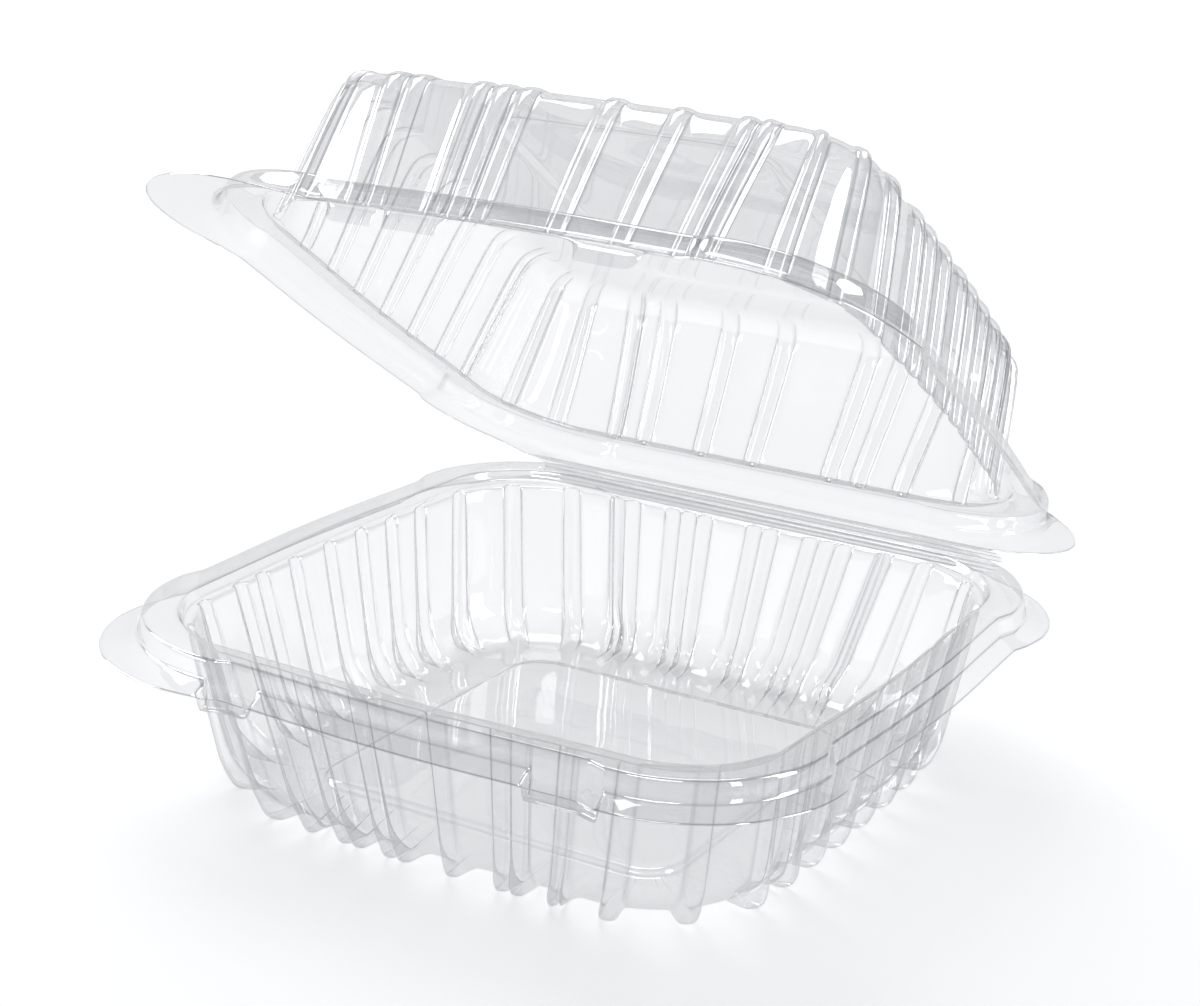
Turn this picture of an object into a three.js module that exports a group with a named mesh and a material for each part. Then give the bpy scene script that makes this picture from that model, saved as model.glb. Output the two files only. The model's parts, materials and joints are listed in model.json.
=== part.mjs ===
// Clear hinged takeaway container, open and empty: a ribbed base and a ribbed domed lid
// formed from one sheet, joined along the back by a fold.
// Millimetres, +Z up. The base's front is towards -Y and the fold runs along X at the back.
// The origin is the middle of the whole object's box, on the surface that it stands on.

import * as THREE from 'three';

// Rim: half sizes over the outer edge of the raised bead, corner radius and height
const RIM_HALF_X = 73.5;
const RIM_HALF_Y = 75.5;
const RIM_RADIUS = 27;
const RIM_TOP_Z = 37.8;
const SIDE_BOW = 1.5;

// The two corners that carry an ear are rounder than the others by this much
const EAR_ROUNDING = 6;

// Round its corners the bead stands out by a step, which starts and ends at these shares of a side
const CORNER_STEP = 1.4;
const STEP_FROM = 0.88;
const STEP_TO = 0.985;

// Sheet, and the room between base and lid where one rests on the other
const SHEET = 0.6;
const NEST_GAP = 0.4;

// Bead and lip of the base, as offsets from the rim outline and drops from its top
const BEAD_EDGE = 0.6;
const BEAD_WIDTH = 6;
const BEAD_DRAFT = 0.7;
const BEAD_FOOT_DROP = 4.3;
const LEDGE_DROP = 2.4;
const LEDGE_OFFSET = -6.8;
const LIP_REACH = 4.2;
const LIP_DROP = 6.4;
const LIP_BAND = 0.6;
const LIP_LOW_SHARE = 0.17;
const LIP_HIGH_SHARE = 0.83;

// Half-moon ears of the lips: how far they reach past the lip at the front left and back right corners
const BASE_EARS = { front: 4, back: 2 };
const LID_EARS = { front: 9.4, back: 3 };
const EAR_SKEW = 0.85;

// Inner side of the base, from the ledge down to the raised middle: offset from the rim outline,
// height, corner radius, how far the ribs stand in at that level and how far the sides bow out
const BASE_WALL = [
  { offset: -8.4, z: 35.1, radius: 26, rib: 1.4, bow: 1.5 },
  { offset: -11.8, z: 9, radius: 26, rib: 2.4, bow: 1, ear: 4 },
  { offset: -15, z: 3.2, radius: 25, rib: 4.6, bow: 0.7, ear: 5 },
  { offset: -19.5, z: SHEET, radius: 21, rib: 7, bow: 0.5, ear: 4 },
];
const BASE_MIDDLE = [
  { offset: -32, z: SHEET, radius: 9, bow: 0 },
  { offset: -33, z: 1.8, radius: 8, bow: 0 },
];

// Outer side of the lid as it lies when shut: lip, dome and the raised middle of its top
const LID_LIP_REACH = 5.2;
const LID_LIP_BAND = 0.4;
const LID_LIP_RISE = 0.1;
const LID_FOLD_BAND = 0.9;
const LID_LEDGE_DROP = 1.4;
const LID_LEDGE_OFFSET = -7;
const LID_WALL = [
  { offset: -9.2, z: 36.2, radius: 22.5, rib: 1.6, bow: 1.5, ear: 4 },
  { offset: -14.2, offsetY: -15.2, z: 65.2, radius: 16, rib: 2.1, bow: 0.9 },
  { offset: -16.4, offsetY: -17.4, z: 68, radius: 14, rib: 2.1, bow: 0.8 },
  { offset: -20.5, offsetY: -21.5, z: 69, radius: 12, rib: 1.2, bow: 0.5 },
];
const LID_MIDDLE = [
  { offset: -42.5, offsetY: -34.5, z: 69, radius: 9, bow: 0 },
  { offset: -43.5, offsetY: -35.5, z: 69.7, radius: 8, bow: 0 },
];

// Ribs: half width and places along each side, and in each corner as shares of the quarter turn
const RIB_HALF = 1.85;
const RIB_CROWN = 0.45;
const BASE_RIBS = {
  front: [-35.9, -25.8, -21.5, -12.4, -8.1, 5.6, 19.2, 23.4, 33.4],
  right: [-34.7, -21.3, -8, 6, 20.5, 34.3],
  back: [-33.1, -28.9, -18.2, -14, -9.8, 2.9, 7.1, 17.1, 21.3, 25.5, 35.2],
  left: [-34.5, -26.6, -14.5, -1.4, 10.3, 21.4, 32.4],
  corner: [0.15, 0.5, 0.85],
};
const LID_RIBS = {
  front: [-35.6, -30.6, -17.2, -12.2, -7.2, 9.9, 23, 35.5, 39.8],
  right: [-40, -26.7, -19.5, -10.7, 0.2, 7.8, 17, 26.4, 34.9],
  back: [-38, -30.2, -15, -1.6, 17.9, 25.3, 35.6],
  left: [-37, -26.7, -19.5, -10.7, 0.2, 7.8, 17, 26.4, 34.9],
  corner: [0.32, 0.68],
};

// Lock pockets under the front lip of the base and lock tabs at the front of the lid
const POCKETS = [[-40.3, -29.2], [30.9, 46.3]];
const POCKET_DROP = 5.6;
const POCKET_WALL = 0.5;
const TABS = [[-30.2, -18.9], [-17.2, -4.6], [22.8, 35.9]];
const TAB_DROP = 3.6;

// Fold at the back, and how far the lid stands open
const HINGE_FROM = -66;
const HINGE_TO = 55;
const HINGE_REACH = 13.5;
const HINGE_GAP = 0.3;
const HINGE_DROP = 6.2;
const HINGE_ROOM = 0.15;
const FOLD_CORNER_SHARE = 0.012;
const OPEN_ANGLE = THREE.MathUtils.degToRad(32.5);

// How finely the outlines are divided: shares of a side and of a corner's quarter turn
const SIDE_SHARES = [-STEP_TO, -STEP_FROM, -0.55, -0.2, 0.2, 0.55, STEP_FROM, STEP_TO];
const CORNER_SHARES = [0.08, 0.22, 0.36, 0.5, 0.64, 0.78, 0.92];
const BASE_MIDDLE_STEPS = 4;
const LID_MIDDLE_STEPS = 3;

const SIDE_NAMES = ['front', 'right', 'back', 'left'];
const QUARTER = Math.PI / 2;
const LIP_Z = RIM_TOP_Z - LIP_DROP;
const BEAD_FOOT_Z = RIM_TOP_Z - BEAD_FOOT_DROP;
const HINGE_Z = RIM_TOP_Z - HINGE_DROP;
const HINGE_Y = RIM_HALF_Y + HINGE_REACH;

// A level is one horizontal outline of a shell: a rounded rectangle whose sides bow out.
// offset is measured outwards from the rim outline, offsetY where front and back have another,
// and ear is what the two ear corners have more in radius.
function level({ offset, offsetY = offset, z, radius, ear = 0, rib = 0, bow = SIDE_BOW, step = 0 }) {
  return { halfX: RIM_HALF_X + offset, halfY: RIM_HALF_Y + offsetY, z, radius, ear, rib, bow, step };
}

// A rim level keeps the centres of the rim's corners, so its radius follows its offset.
function rimLevel(offset, z, step = 0) {
  return level({ offset, z, radius: RIM_RADIUS + offset, ear: EAR_ROUNDING, step });
}

// Corner number k ends side number k. The odd ones, back right and front left, carry the ears.
function cornerRadius(lev, corner) {
  return lev.radius + (corner % 2 === 1 ? lev.ear : 0);
}

// Where the straight part of a side starts and ends along that side
function straightSpan(lev, side) {
  const half = side % 2 === 0 ? lev.halfX : lev.halfY;
  return [cornerRadius(lev, (side + 3) % 4) - half, half - cornerRadius(lev, side)];
}

// The station share, from -1 to 1, of a place along a side
function shareAt(lev, side, place) {
  return THREE.MathUtils.mapLinear(place, ...straightSpan(lev, side), -1, 1);
}

// Share of the outward step that the corners of the bead have, for a place on a side
function cornerStepShare(station) {
  if (station.corner) return 1;
  return THREE.MathUtils.clamp((Math.abs(station.t) - STEP_FROM) / (STEP_TO - STEP_FROM), 0, 1);
}

// The point of a level at a station: a place on a side (t from -1 to 1) or in a corner (t from 0 to 1)
function outlinePoint(lev, station) {
  const side = station.side;
  const turn = side * QUARTER;
  const push = lev.rib * station.rib + lev.step * cornerStepShare(station);
  const [from, to] = straightSpan(lev, side);
  const reach = side % 2 === 0 ? lev.halfY : lev.halfX;
  let along;
  let out;
  if (station.corner) {
    const angle = station.t * QUARTER;
    const radius = cornerRadius(lev, side);
    along = to + (radius + push) * Math.sin(angle);
    out = reach - radius + (radius + push) * Math.cos(angle);
  } else {
    const bow = side === 2 ? 0 : lev.bow * (1 - station.t ** 2) ** 2;
    along = THREE.MathUtils.mapLinear(station.t, -1, 1, from, to);
    out = reach + push + bow;
  }
  const c = Math.cos(turn);
  const s = Math.sin(turn);
  return new THREE.Vector3(along * c + out * s, along * s - out * c, lev.z);
}

function station(side, corner, t, rib = 0) {
  return { side, corner, t, rib, s: side * 2 + (corner ? 1 + t : (t + 1) / 2) };
}

function sorted(stations) {
  const list = stations.slice().sort((p, q) => p.s - q.s);
  return list.filter((p, i) => i === 0 || p.s - list[i - 1].s > 1e-4);
}

// Stations of a ribbed wall: four for each rib, from foot to crown and back
function ribStations(ribs, wallLevel) {
  const profile = [[-1, 0], [-RIB_CROWN, 1], [RIB_CROWN, 1], [1, 0]];
  const list = [];
  for (let side = 0; side < 4; side += 1) {
    const name = SIDE_NAMES[side];
    for (const place of ribs[name]) {
      const centre = side < 2 ? place : -place;
      for (const [across, height] of profile) {
        const share = shareAt(wallLevel, side, centre + across * RIB_HALF);
        list.push(station(side, false, share, height));
      }
    }
    const arc = cornerRadius(wallLevel, side) * QUARTER;
    for (const share of ribs.corner) {
      for (const [across, height] of profile) {
        list.push(station(side, true, share + (across * RIB_HALF) / arc, height));
      }
    }
  }
  return sorted(list);
}

// Stations of the rim: the corners, the ends of the corner steps and of whatever the front lip carries
function rimStations(frontMarks, ends) {
  const list = [];
  for (let side = 0; side < 4; side += 1) {
    for (const t of SIDE_SHARES) list.push(station(side, false, t));
    for (const t of CORNER_SHARES) list.push(station(side, true, t));
  }
  const outline = rimLevel(0, 0);
  for (const [from, to] of frontMarks) {
    for (const x of [from, from + POCKET_WALL, to - POCKET_WALL, to]) {
      list.push(station(0, false, shareAt(outline, 0, x)));
    }
  }
  for (const shift of [0, FOLD_CORNER_SHARE]) {
    list.push(station(1, true, ends.right + shift));
    list.push(station(2, true, ends.left - shift));
  }
  return sorted(list);
}

function plainStations(cornerSteps) {
  const list = [];
  for (let side = 0; side < 4; side += 1) {
    list.push(station(side, false, -0.5), station(side, false, 0.5));
    for (let i = 0; i <= cornerSteps; i += 1) list.push(station(side, true, i / cornerSteps));
  }
  return sorted(list);
}

function loop(lev, stations, shape = (point) => point) {
  return stations.map((st) => ({ s: st.s, p: shape(outlinePoint(lev, st), st) }));
}

function inSpan(x, spans) {
  return spans.some(([from, to]) => x > from + 0.1 && x < to - 0.1);
}

// How far an ear reaches past the lip at a station
function earPush(st, ears, ends) {
  if (!st.corner) return 0;
  if (st.side === 3) return ears.front * Math.sin(Math.PI * st.t ** EAR_SKEW);
  if (st.side === 1 && st.t < ends.right) {
    return ears.back * Math.sin(Math.PI * (st.t / ends.right) ** EAR_SKEW);
  }
  return 0;
}

function isAtFold(st, ends) {
  const margin = FOLD_CORNER_SHARE / 2;
  if (st.side === 2) return !st.corner || st.t < ends.left - margin;
  return st.side === 1 && st.corner && st.t > ends.right + margin;
}

// The outer edge of a lip: it follows the bead, fills out at the ears and reaches the fold at the back
function lipEdge(ears, ends, foldReach, foldZ) {
  return (point, st) => {
    const turned = st.corner ? (st.side + st.t) * QUARTER : 0;
    const push = earPush(st, ears, ends);
    const moved = point.clone();
    moved.x += push * Math.sin(turned);
    moved.y -= push * Math.cos(turned);
    if (isAtFold(st, ends)) {
      moved.y = RIM_HALF_Y + foldReach;
      moved.z = foldZ;
    }
    return moved;
  };
}

// The shares of the back corners' quarter turns at which the lip meets the ends of the fold
function foldEnds() {
  const lip = rimLevel(LIP_REACH, 0);
  const shareOf = (corner, place) => {
    const radius = cornerRadius(lip, corner);
    return Math.acos((place - lip.halfX + radius) / radius) / QUARTER;
  };
  return { right: shareOf(1, HINGE_TO), left: 1 - shareOf(2, -HINGE_FROM) };
}

// A surface made of closed loops, each joined to the next, and closed by a flat fan at the middle
class Skin {
  constructor() {
    this.points = [];
    this.faces = [];
  }

  addLoop(items) {
    const start = this.points.length;
    items.forEach((item) => this.points.push(item.p));
    return items.map((item, i) => ({ index: start + i, s: item.s }));
  }

  // Joins two loops whose stations may differ, always taking the nearer next station
  join(outer, inner) {
    let i = 0;
    let j = 0;
    const n = outer.length;
    const m = inner.length;
    const at = (list, k) => list[k % list.length].s + (k >= list.length ? 8 : 0);
    while (i < n || j < m) {
      const a = outer[i % n].index;
      const b = inner[j % m].index;
      const stepOuter = j >= m || (i < n && at(outer, i + 1) <= at(inner, j + 1));
      if (stepOuter) {
        this.faces.push([a, outer[(i + 1) % n].index, b]);
        i += 1;
      } else {
        this.faces.push([a, inner[(j + 1) % m].index, b]);
        j += 1;
      }
    }
  }

  fan(ring) {
    const middle = new THREE.Vector3();
    ring.forEach((item) => middle.add(this.points[item.index]));
    middle.divideScalar(ring.length);
    const centre = this.points.push(middle) - 1;
    ring.forEach((item, k) => {
      this.faces.push([item.index, ring[(k + 1) % ring.length].index, centre]);
    });
  }
}

function faceNormal(points, face) {
  const [a, b, c] = face.map((k) => points[k]);
  const u = new THREE.Vector3().subVectors(b, a);
  const v = new THREE.Vector3().subVectors(c, a);
  return u.cross(v).normalize();
}

function cornerAngle(points, face, k) {
  const p = points[face[k]];
  const u = new THREE.Vector3().subVectors(points[face[(k + 1) % 3]], p);
  const v = new THREE.Vector3().subVectors(points[face[(k + 2) % 3]], p);
  return u.angleTo(v);
}

// The second skin: each point moves until it is one sheet away from all faces that meet there
function offsetPoints(points, faces, distance) {
  const softness = 0.004;
  const sums = points.map(() => ({ a: new Array(9).fill(0), b: [0, 0, 0], w: 0 }));
  for (const face of faces) {
    const n = faceNormal(points, face).toArray();
    face.forEach((index, k) => {
      const weight = cornerAngle(points, face, k);
      const sum = sums[index];
      for (let r = 0; r < 3; r += 1) {
        for (let c = 0; c < 3; c += 1) sum.a[r * 3 + c] += weight * n[r] * n[c];
        sum.b[r] += weight * n[r] * distance;
      }
      sum.w += weight;
    });
  }
  return points.map((p, index) => {
    const { a, b, w } = sums[index];
    const soft = softness * w;
    const m = new THREE.Matrix3().set(
      a[0] + soft, a[1], a[2],
      a[3], a[4] + soft, a[5],
      a[6], a[7], a[8] + soft,
    );
    const move = new THREE.Vector3(...b).applyMatrix3(m.invert());
    move.clampLength(0, Math.abs(distance) * 2);
    return p.clone().add(move);
  });
}

// A closed sheet from one skin: the skin, its offset and a band round the open edge
function sheetGeometry(skin, edge, distance, flatten) {
  const count = skin.points.length;
  const second = offsetPoints(skin.points, skin.faces, distance).map(flatten);
  const points = skin.points.concat(second);
  const faces = skin.faces.map((f) => [f[0], f[2], f[1]]);
  skin.faces.forEach((f) => faces.push(f.map((k) => k + count)));
  edge.forEach((item, k) => {
    const a = item.index;
    const b = edge[(k + 1) % edge.length].index;
    faces.push([a, b, b + count], [a, b + count, a + count]);
  });
  let volume = 0;
  for (const [a, b, c] of faces) {
    volume += points[a].dot(new THREE.Vector3().crossVectors(points[b], points[c])) / 6;
  }
  const turned = volume < 0 ? faces.map((f) => [f[0], f[2], f[1]]) : faces;
  const geometry = new THREE.BufferGeometry();
  const position = new THREE.Float32BufferAttribute(points.flatMap((p) => p.toArray()), 3);
  geometry.setAttribute('position', position);
  geometry.setIndex(turned.flat());
  geometry.computeVertexNormals();
  return geometry;
}

// A sheet from its rim loops and the levels of its wall and middle
function shellGeometry(rimLoops, wall, ribs, middle, middleSteps, distance, flatten) {
  const wallLevels = wall.map(level);
  const ribbed = ribStations(ribs, wallLevels[0]);
  const plain = plainStations(middleSteps);
  const loops = [
    ...rimLoops,
    ...wallLevels.map((lev) => loop(lev, ribbed)),
    ...middle.map((entry) => loop(level(entry), plain)),
  ];
  const skin = new Skin();
  const rings = loops.map((items) => skin.addLoop(items));
  for (let k = 1; k < rings.length; k += 1) skin.join(rings[k - 1], rings[k]);
  skin.fan(rings[rings.length - 1]);
  return sheetGeometry(skin, rings[0], distance, flatten);
}

// Base: lip with lock pockets, bead, ledge, ribbed walls, standing ring and raised middle
function baseGeometry() {
  const ends = foldEnds();
  const rim = rimStations(POCKETS, ends);
  const lipHeight = (share) => THREE.MathUtils.lerp(LIP_Z, BEAD_FOOT_Z, share);
  const step = CORNER_STEP;
  const pocket = (point) => {
    const moved = point.clone();
    if (point.y < 0 && inSpan(point.x, POCKETS)) moved.z = LIP_Z - POCKET_DROP;
    return moved;
  };
  const edge = lipEdge(BASE_EARS, ends, HINGE_REACH - HINGE_GAP, HINGE_Z - HINGE_ROOM);
  const rimLoops = [
    loop(rimLevel(LIP_REACH, LIP_Z, step), rim, edge),
    loop(rimLevel(LIP_REACH - LIP_BAND, lipHeight(LIP_LOW_SHARE), step), rim, pocket),
    loop(rimLevel(BEAD_DRAFT + LIP_BAND, lipHeight(LIP_HIGH_SHARE), step), rim, pocket),
    loop(rimLevel(BEAD_DRAFT, BEAD_FOOT_Z, step), rim),
    loop(rimLevel(0, RIM_TOP_Z - BEAD_EDGE, step), rim),
    loop(rimLevel(-BEAD_EDGE, RIM_TOP_Z, step), rim),
    loop(rimLevel(BEAD_EDGE - BEAD_WIDTH, RIM_TOP_Z), rim),
    loop(rimLevel(-BEAD_WIDTH, RIM_TOP_Z - BEAD_EDGE), rim),
    loop(rimLevel(LEDGE_OFFSET, RIM_TOP_Z - LEDGE_DROP), rim),
  ];
  const flatten = (point) => {
    if (point.z < SHEET / 10) point.z = 0;
    return point;
  };
  return shellGeometry(rimLoops, BASE_WALL, BASE_RIBS, BASE_MIDDLE, BASE_MIDDLE_STEPS, -SHEET, flatten);
}

// Lid as it lies when shut: lip with lock tabs, channel over the bead, ribbed dome and raised top panel
function lidGeometry() {
  const ends = foldEnds();
  const rim = rimStations(TABS, ends);
  const step = CORNER_STEP;
  const lipZ = LIP_Z + NEST_GAP;
  const foldZ = HINGE_Z + HINGE_ROOM;
  const edge = lipEdge(LID_EARS, ends, HINGE_REACH - HINGE_GAP, foldZ);
  const nextToEdge = lipEdge(LID_EARS, ends, HINGE_REACH - HINGE_GAP - LID_FOLD_BAND, foldZ + LID_LIP_RISE);
  const tab = (point, st) => {
    const moved = edge(point, st);
    if (point.y < 0 && inSpan(point.x, TABS)) moved.z -= TAB_DROP;
    return moved;
  };
  const beadTop = RIM_TOP_Z + NEST_GAP;
  const beadEdge = RIM_TOP_Z - BEAD_EDGE + NEST_GAP / 2;
  const rimLoops = [
    loop(rimLevel(LID_LIP_REACH, lipZ, step), rim, tab),
    loop(rimLevel(LID_LIP_REACH - LID_LIP_BAND, lipZ + LID_LIP_RISE, step), rim, nextToEdge),
    loop(rimLevel(BEAD_DRAFT + NEST_GAP, BEAD_FOOT_Z + NEST_GAP, step), rim),
    loop(rimLevel(NEST_GAP, beadEdge, step), rim),
    loop(rimLevel(NEST_GAP / 2 - BEAD_EDGE, beadTop, step), rim),
    loop(rimLevel(BEAD_EDGE - BEAD_WIDTH - NEST_GAP / 2, beadTop), rim),
    loop(rimLevel(-BEAD_WIDTH - NEST_GAP, beadEdge), rim),
    loop(rimLevel(LID_LEDGE_OFFSET, RIM_TOP_Z - LID_LEDGE_DROP), rim),
  ];
  const keep = (point) => point;
  return shellGeometry(rimLoops, LID_WALL, LID_RIBS, LID_MIDDLE, LID_MIDDLE_STEPS, SHEET, keep);
}

const clear = { color: 0xe6e8eb, roughness: 0.08, metalness: 0, transparent: true, opacity: 0.4 };

const base = new THREE.Mesh(baseGeometry(), new THREE.MeshStandardMaterial(clear));
base.name = 'base';

const lidShape = lidGeometry().translate(0, -HINGE_Y, -HINGE_Z);
const lid = new THREE.Mesh(lidShape, new THREE.MeshStandardMaterial(clear));
lid.name = 'lid';

const fold = new THREE.Group();
fold.position.set(0, HINGE_Y, HINGE_Z);
fold.rotation.x = -OPEN_ANGLE;
fold.add(lid);

const container = new THREE.Group();
container.add(base, fold);

// The whole is moved so that its box stands centred over the origin
container.updateMatrixWorld(true);
const box = new THREE.Box3().setFromObject(container, true);
const middle = box.getCenter(new THREE.Vector3());
container.position.set(-middle.x, -middle.y, -box.min.z);
container.updateMatrixWorld(true);

export default container;
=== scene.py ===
# %% [markdown]
# # A clear hinged takeaway container
# The object is one sheet of clear PET, drawn by vacuum into a tray and a domed lid that
# share a fold. The frame brings the CAD halves, which set every size. This notebook
# dresses them: a thin shell for each half, a ridged strip for the fold, and the light of
# a white photo studio, because clear plastic shows little but what stands around it.

import json
import math

import bmesh
import bpy
from mathutils import Matrix, Vector


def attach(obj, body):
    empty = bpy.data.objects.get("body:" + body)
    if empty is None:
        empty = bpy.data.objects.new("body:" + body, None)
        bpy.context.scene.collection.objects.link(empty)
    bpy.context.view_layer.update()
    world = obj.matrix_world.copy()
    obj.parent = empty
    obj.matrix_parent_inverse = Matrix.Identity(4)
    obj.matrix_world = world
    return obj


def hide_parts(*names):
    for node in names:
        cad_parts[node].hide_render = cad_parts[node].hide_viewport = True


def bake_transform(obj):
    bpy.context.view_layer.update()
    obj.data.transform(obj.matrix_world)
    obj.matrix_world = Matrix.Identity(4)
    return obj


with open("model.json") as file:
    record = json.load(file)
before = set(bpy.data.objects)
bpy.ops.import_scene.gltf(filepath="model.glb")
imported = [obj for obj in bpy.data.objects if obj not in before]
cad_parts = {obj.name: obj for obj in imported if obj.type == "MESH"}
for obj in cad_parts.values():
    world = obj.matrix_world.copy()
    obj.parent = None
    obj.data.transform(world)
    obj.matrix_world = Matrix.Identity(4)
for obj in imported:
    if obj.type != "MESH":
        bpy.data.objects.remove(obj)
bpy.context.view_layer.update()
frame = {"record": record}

# %% [markdown]
# The sizes of the real container are worked out from a few driving dimensions in
# millimetres. The fold line comes from the frame's joint, and the middle of the rim lies
# a known way in front of it, so the shells land on the CAD halves without fitting.

# %% Driving sizes
MM = 0.001
RIM_HALF_X = 73.5
RIM_HALF_Y = 75.5
RIM_RADIUS = 27
FOLD_REACH = 13.5

joint = frame["record"]["behaviour"]["joints"][0]
fold_line = Vector(joint["pos_m"])
middle = Vector((fold_line.x, fold_line.y - (RIM_HALF_Y + FOLD_REACH) * MM, 0))
print("fold line at", tuple(fold_line), "middle of the rim at", tuple(middle))

# %% [markdown]
# Every level cut through either half is a rounded rectangle whose sides bow out a little.
# The four sides could be modelled apart and joined at the corners, but then every bend
# would need joining four times. So a shell is a stack of outlines, each given by a few
# numbers. Two opposite corners, the ones with an ear, are rounder than the other two.

# %% Outlines
FRONT, RIGHT, BACK, LEFT = range(4)
EAR_ROUNDING = 6
SIDE_BOW = 1.5


def level(
    offset, z, radius=None, ear=None, rib=0, bow=SIDE_BOW, step=0, offset_y=None, shape=None
):
    """One outline: offset from the rim's edge, height, corner radius, rib depth and more.

    The ear is what the corners with an ear add to the radius, the step what all corners
    stand out by, and the shape a function that moves single points of the outline.
    """
    if ear is None:
        ear = EAR_ROUNDING if radius is None else 0
    along_y = offset if offset_y is None else offset_y
    return {
        "half": (RIM_HALF_X + offset, RIM_HALF_Y + along_y),
        "z": z,
        "radius": RIM_RADIUS + offset if radius is None else radius,
        "ear": ear,
        "rib": rib,
        "bow": bow,
        "step": step,
        "shape": shape,
    }


def corner_radius(lev, corner):
    """The radius of the corner after a side. Back right and front left carry the ears."""
    return lev["radius"] + (lev["ear"] if corner in (RIGHT, LEFT) else 0)


def straight_span(lev, side):
    """Where the straight part of a side starts and ends."""
    half = lev["half"][side % 2]
    return corner_radius(lev, (side + 3) % 4) - half, half - corner_radius(lev, side)


rim = level(0, 0)
print("the rim's front is straight from and to", straight_span(rim, FRONT))

# %% [markdown]
# A point of an outline is found from its place: the side, whether it lies on the side or
# in the corner after it, and the share of the way along. A rib stands out like a finger,
# with straight flanks and a round back. The bead steps out round all four corners, and
# the step eases off along the ends of the sides.

# %% A point of an outline
QUARTER = math.pi / 2
RIB_HALF = 1.85
STEP_FROM = 0.88
STEP_TO = 0.985


def rib_push(depth, across):
    """How far a rib stands out at a place across it, which goes from -1 to 1."""
    if across is None or abs(across) > 1:
        return 0
    bend = min(depth, RIB_HALF)
    return depth - bend + bend * math.sqrt(1 - across * across)


def step_share(in_corner, share):
    """How much of the corners' step a place has."""
    if in_corner:
        return 1
    ease = min(max((abs(share) - STEP_FROM) / (STEP_TO - STEP_FROM), 0), 1)
    return ease * ease * (3 - 2 * ease)


def outline_point(lev, place):
    """The point of an outline at a place: side, in its corner, share, way across a rib."""
    side, in_corner, share, across = place
    start, end = straight_span(lev, side)
    reach = lev["half"][1 - side % 2]
    push = rib_push(lev["rib"], across) + lev["step"] * step_share(in_corner, share)
    if in_corner:
        radius = corner_radius(lev, side)
        along = end + (radius + push) * math.sin(share * QUARTER)
        out = reach - radius + (radius + push) * math.cos(share * QUARTER)
    else:
        bow = 0 if side == BACK else lev["bow"] * (1 - share * share) ** 2
        along = start + (end - start) * (share + 1) / 2
        out = reach + push + bow
    turn = side * QUARTER
    x = along * math.cos(turn) + out * math.sin(turn)
    y = along * math.sin(turn) - out * math.cos(turn)
    return Vector((x, y, lev["z"]))


print("middle of the rim's front:", tuple(outline_point(rim, (FRONT, False, 0, None))))

# %% [markdown]
# The ribs stiffen the walls. They stand in uneven groups along the sides, and three share
# each corner of the tray, two each corner of the lid. They could be cut into a plain wall
# later, but it is simpler to give the outline a few points across every rib from the
# start: a pair at its feet, pairs up its flanks and a pair on its back.

# %% Places across the ribs
RIB_PLACES = [-1.08, -0.98, -0.76, -0.32, 0.32, 0.76, 0.98, 1.08]

# Middles of the ribs, in millimetres to the right along the front and back and to the
# back along the other sides. In the corners they are shares of the turn.
BASE_RIBS = {
    FRONT: [-35.9, -25.8, -21.5, -12.4, -8.1, 5.6, 19.2, 23.4, 33.4],
    RIGHT: [-34.7, -21.3, -8, 6, 20.5, 34.3],
    BACK: [-33.1, -28.9, -18.2, -14, -9.8, 2.9, 7.1, 17.1, 21.3, 25.5, 35.2],
    LEFT: [-34.5, -26.6, -14.5, -1.4, 10.3, 21.4, 32.4],
    "corner": [0.15, 0.5, 0.85],
}
LID_RIBS = {
    FRONT: [-35.6, -30.6, -17.2, -12.2, -7.2, 9.9, 23, 35.5, 39.8],
    RIGHT: [-40, -26.7, -19.5, -10.7, 0.2, 7.8, 17, 26.4, 34.9],
    BACK: [-38, -30.2, -15, -1.6, 17.9, 25.3, 35.6],
    LEFT: [-36.5, -24.5, -12, 0.5, 13, 25.5, 37.5],
    "corner": [0.32, 0.68],
}


def share_at(lev, side, place):
    """The share, from -1 to 1, of a place in millimetres along a side."""
    start, end = straight_span(lev, side)
    return 2 * (place - start) / (end - start) - 1


def rib_places(ribs, wall):
    """The places across all ribs, each with how far across its rib it lies."""
    found = {}
    for side in (FRONT, RIGHT, BACK, LEFT):
        for rib in ribs[side]:
            centre = rib if side in (FRONT, RIGHT) else -rib
            for across in RIB_PLACES:
                share = share_at(wall, side, centre + across * RIB_HALF)
                found[(side, False, round(share, 5))] = across
        arc = corner_radius(wall, side) * QUARTER
        for rib in ribs["corner"]:
            for across in RIB_PLACES:
                found[(side, True, round(rib + across * RIB_HALF / arc, 5))] = across
    return found


base_wall = level(-8.4, 35.1, 26, ear=0)
lid_wall = level(-9.2, 36.2, 22.5, ear=4)
for name, ribs, wall in (("tray", BASE_RIBS, base_wall), ("lid", LID_RIBS, lid_wall)):
    print("the", name, "has", len(rib_places(ribs, wall)) // len(RIB_PLACES), "ribs")

# %% [markdown]
# The front lips carry the locks: pockets that hang from the tray's lip and tabs that hang
# from the lid's. They need places at their walls, and so do the ends of the corner steps
# and the corners themselves. A lock may stand in front of a rib, so each of its places
# also asks how far across a rib it lies.

# %% Places between the ribs
CORNER_PARTS = 14
CORNER_ARC = 40
RIB_CLEAR = 0.6
LOCK_WALL = 0.5

# Where the locks start and end, in millimetres to the right along the front
POCKETS = [(-40.3, -29.2), (30.9, 46.3)]
TABS = [(-30.2, -18.9), (-17.2, -4.6), (22.8, 35.9)]


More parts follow.
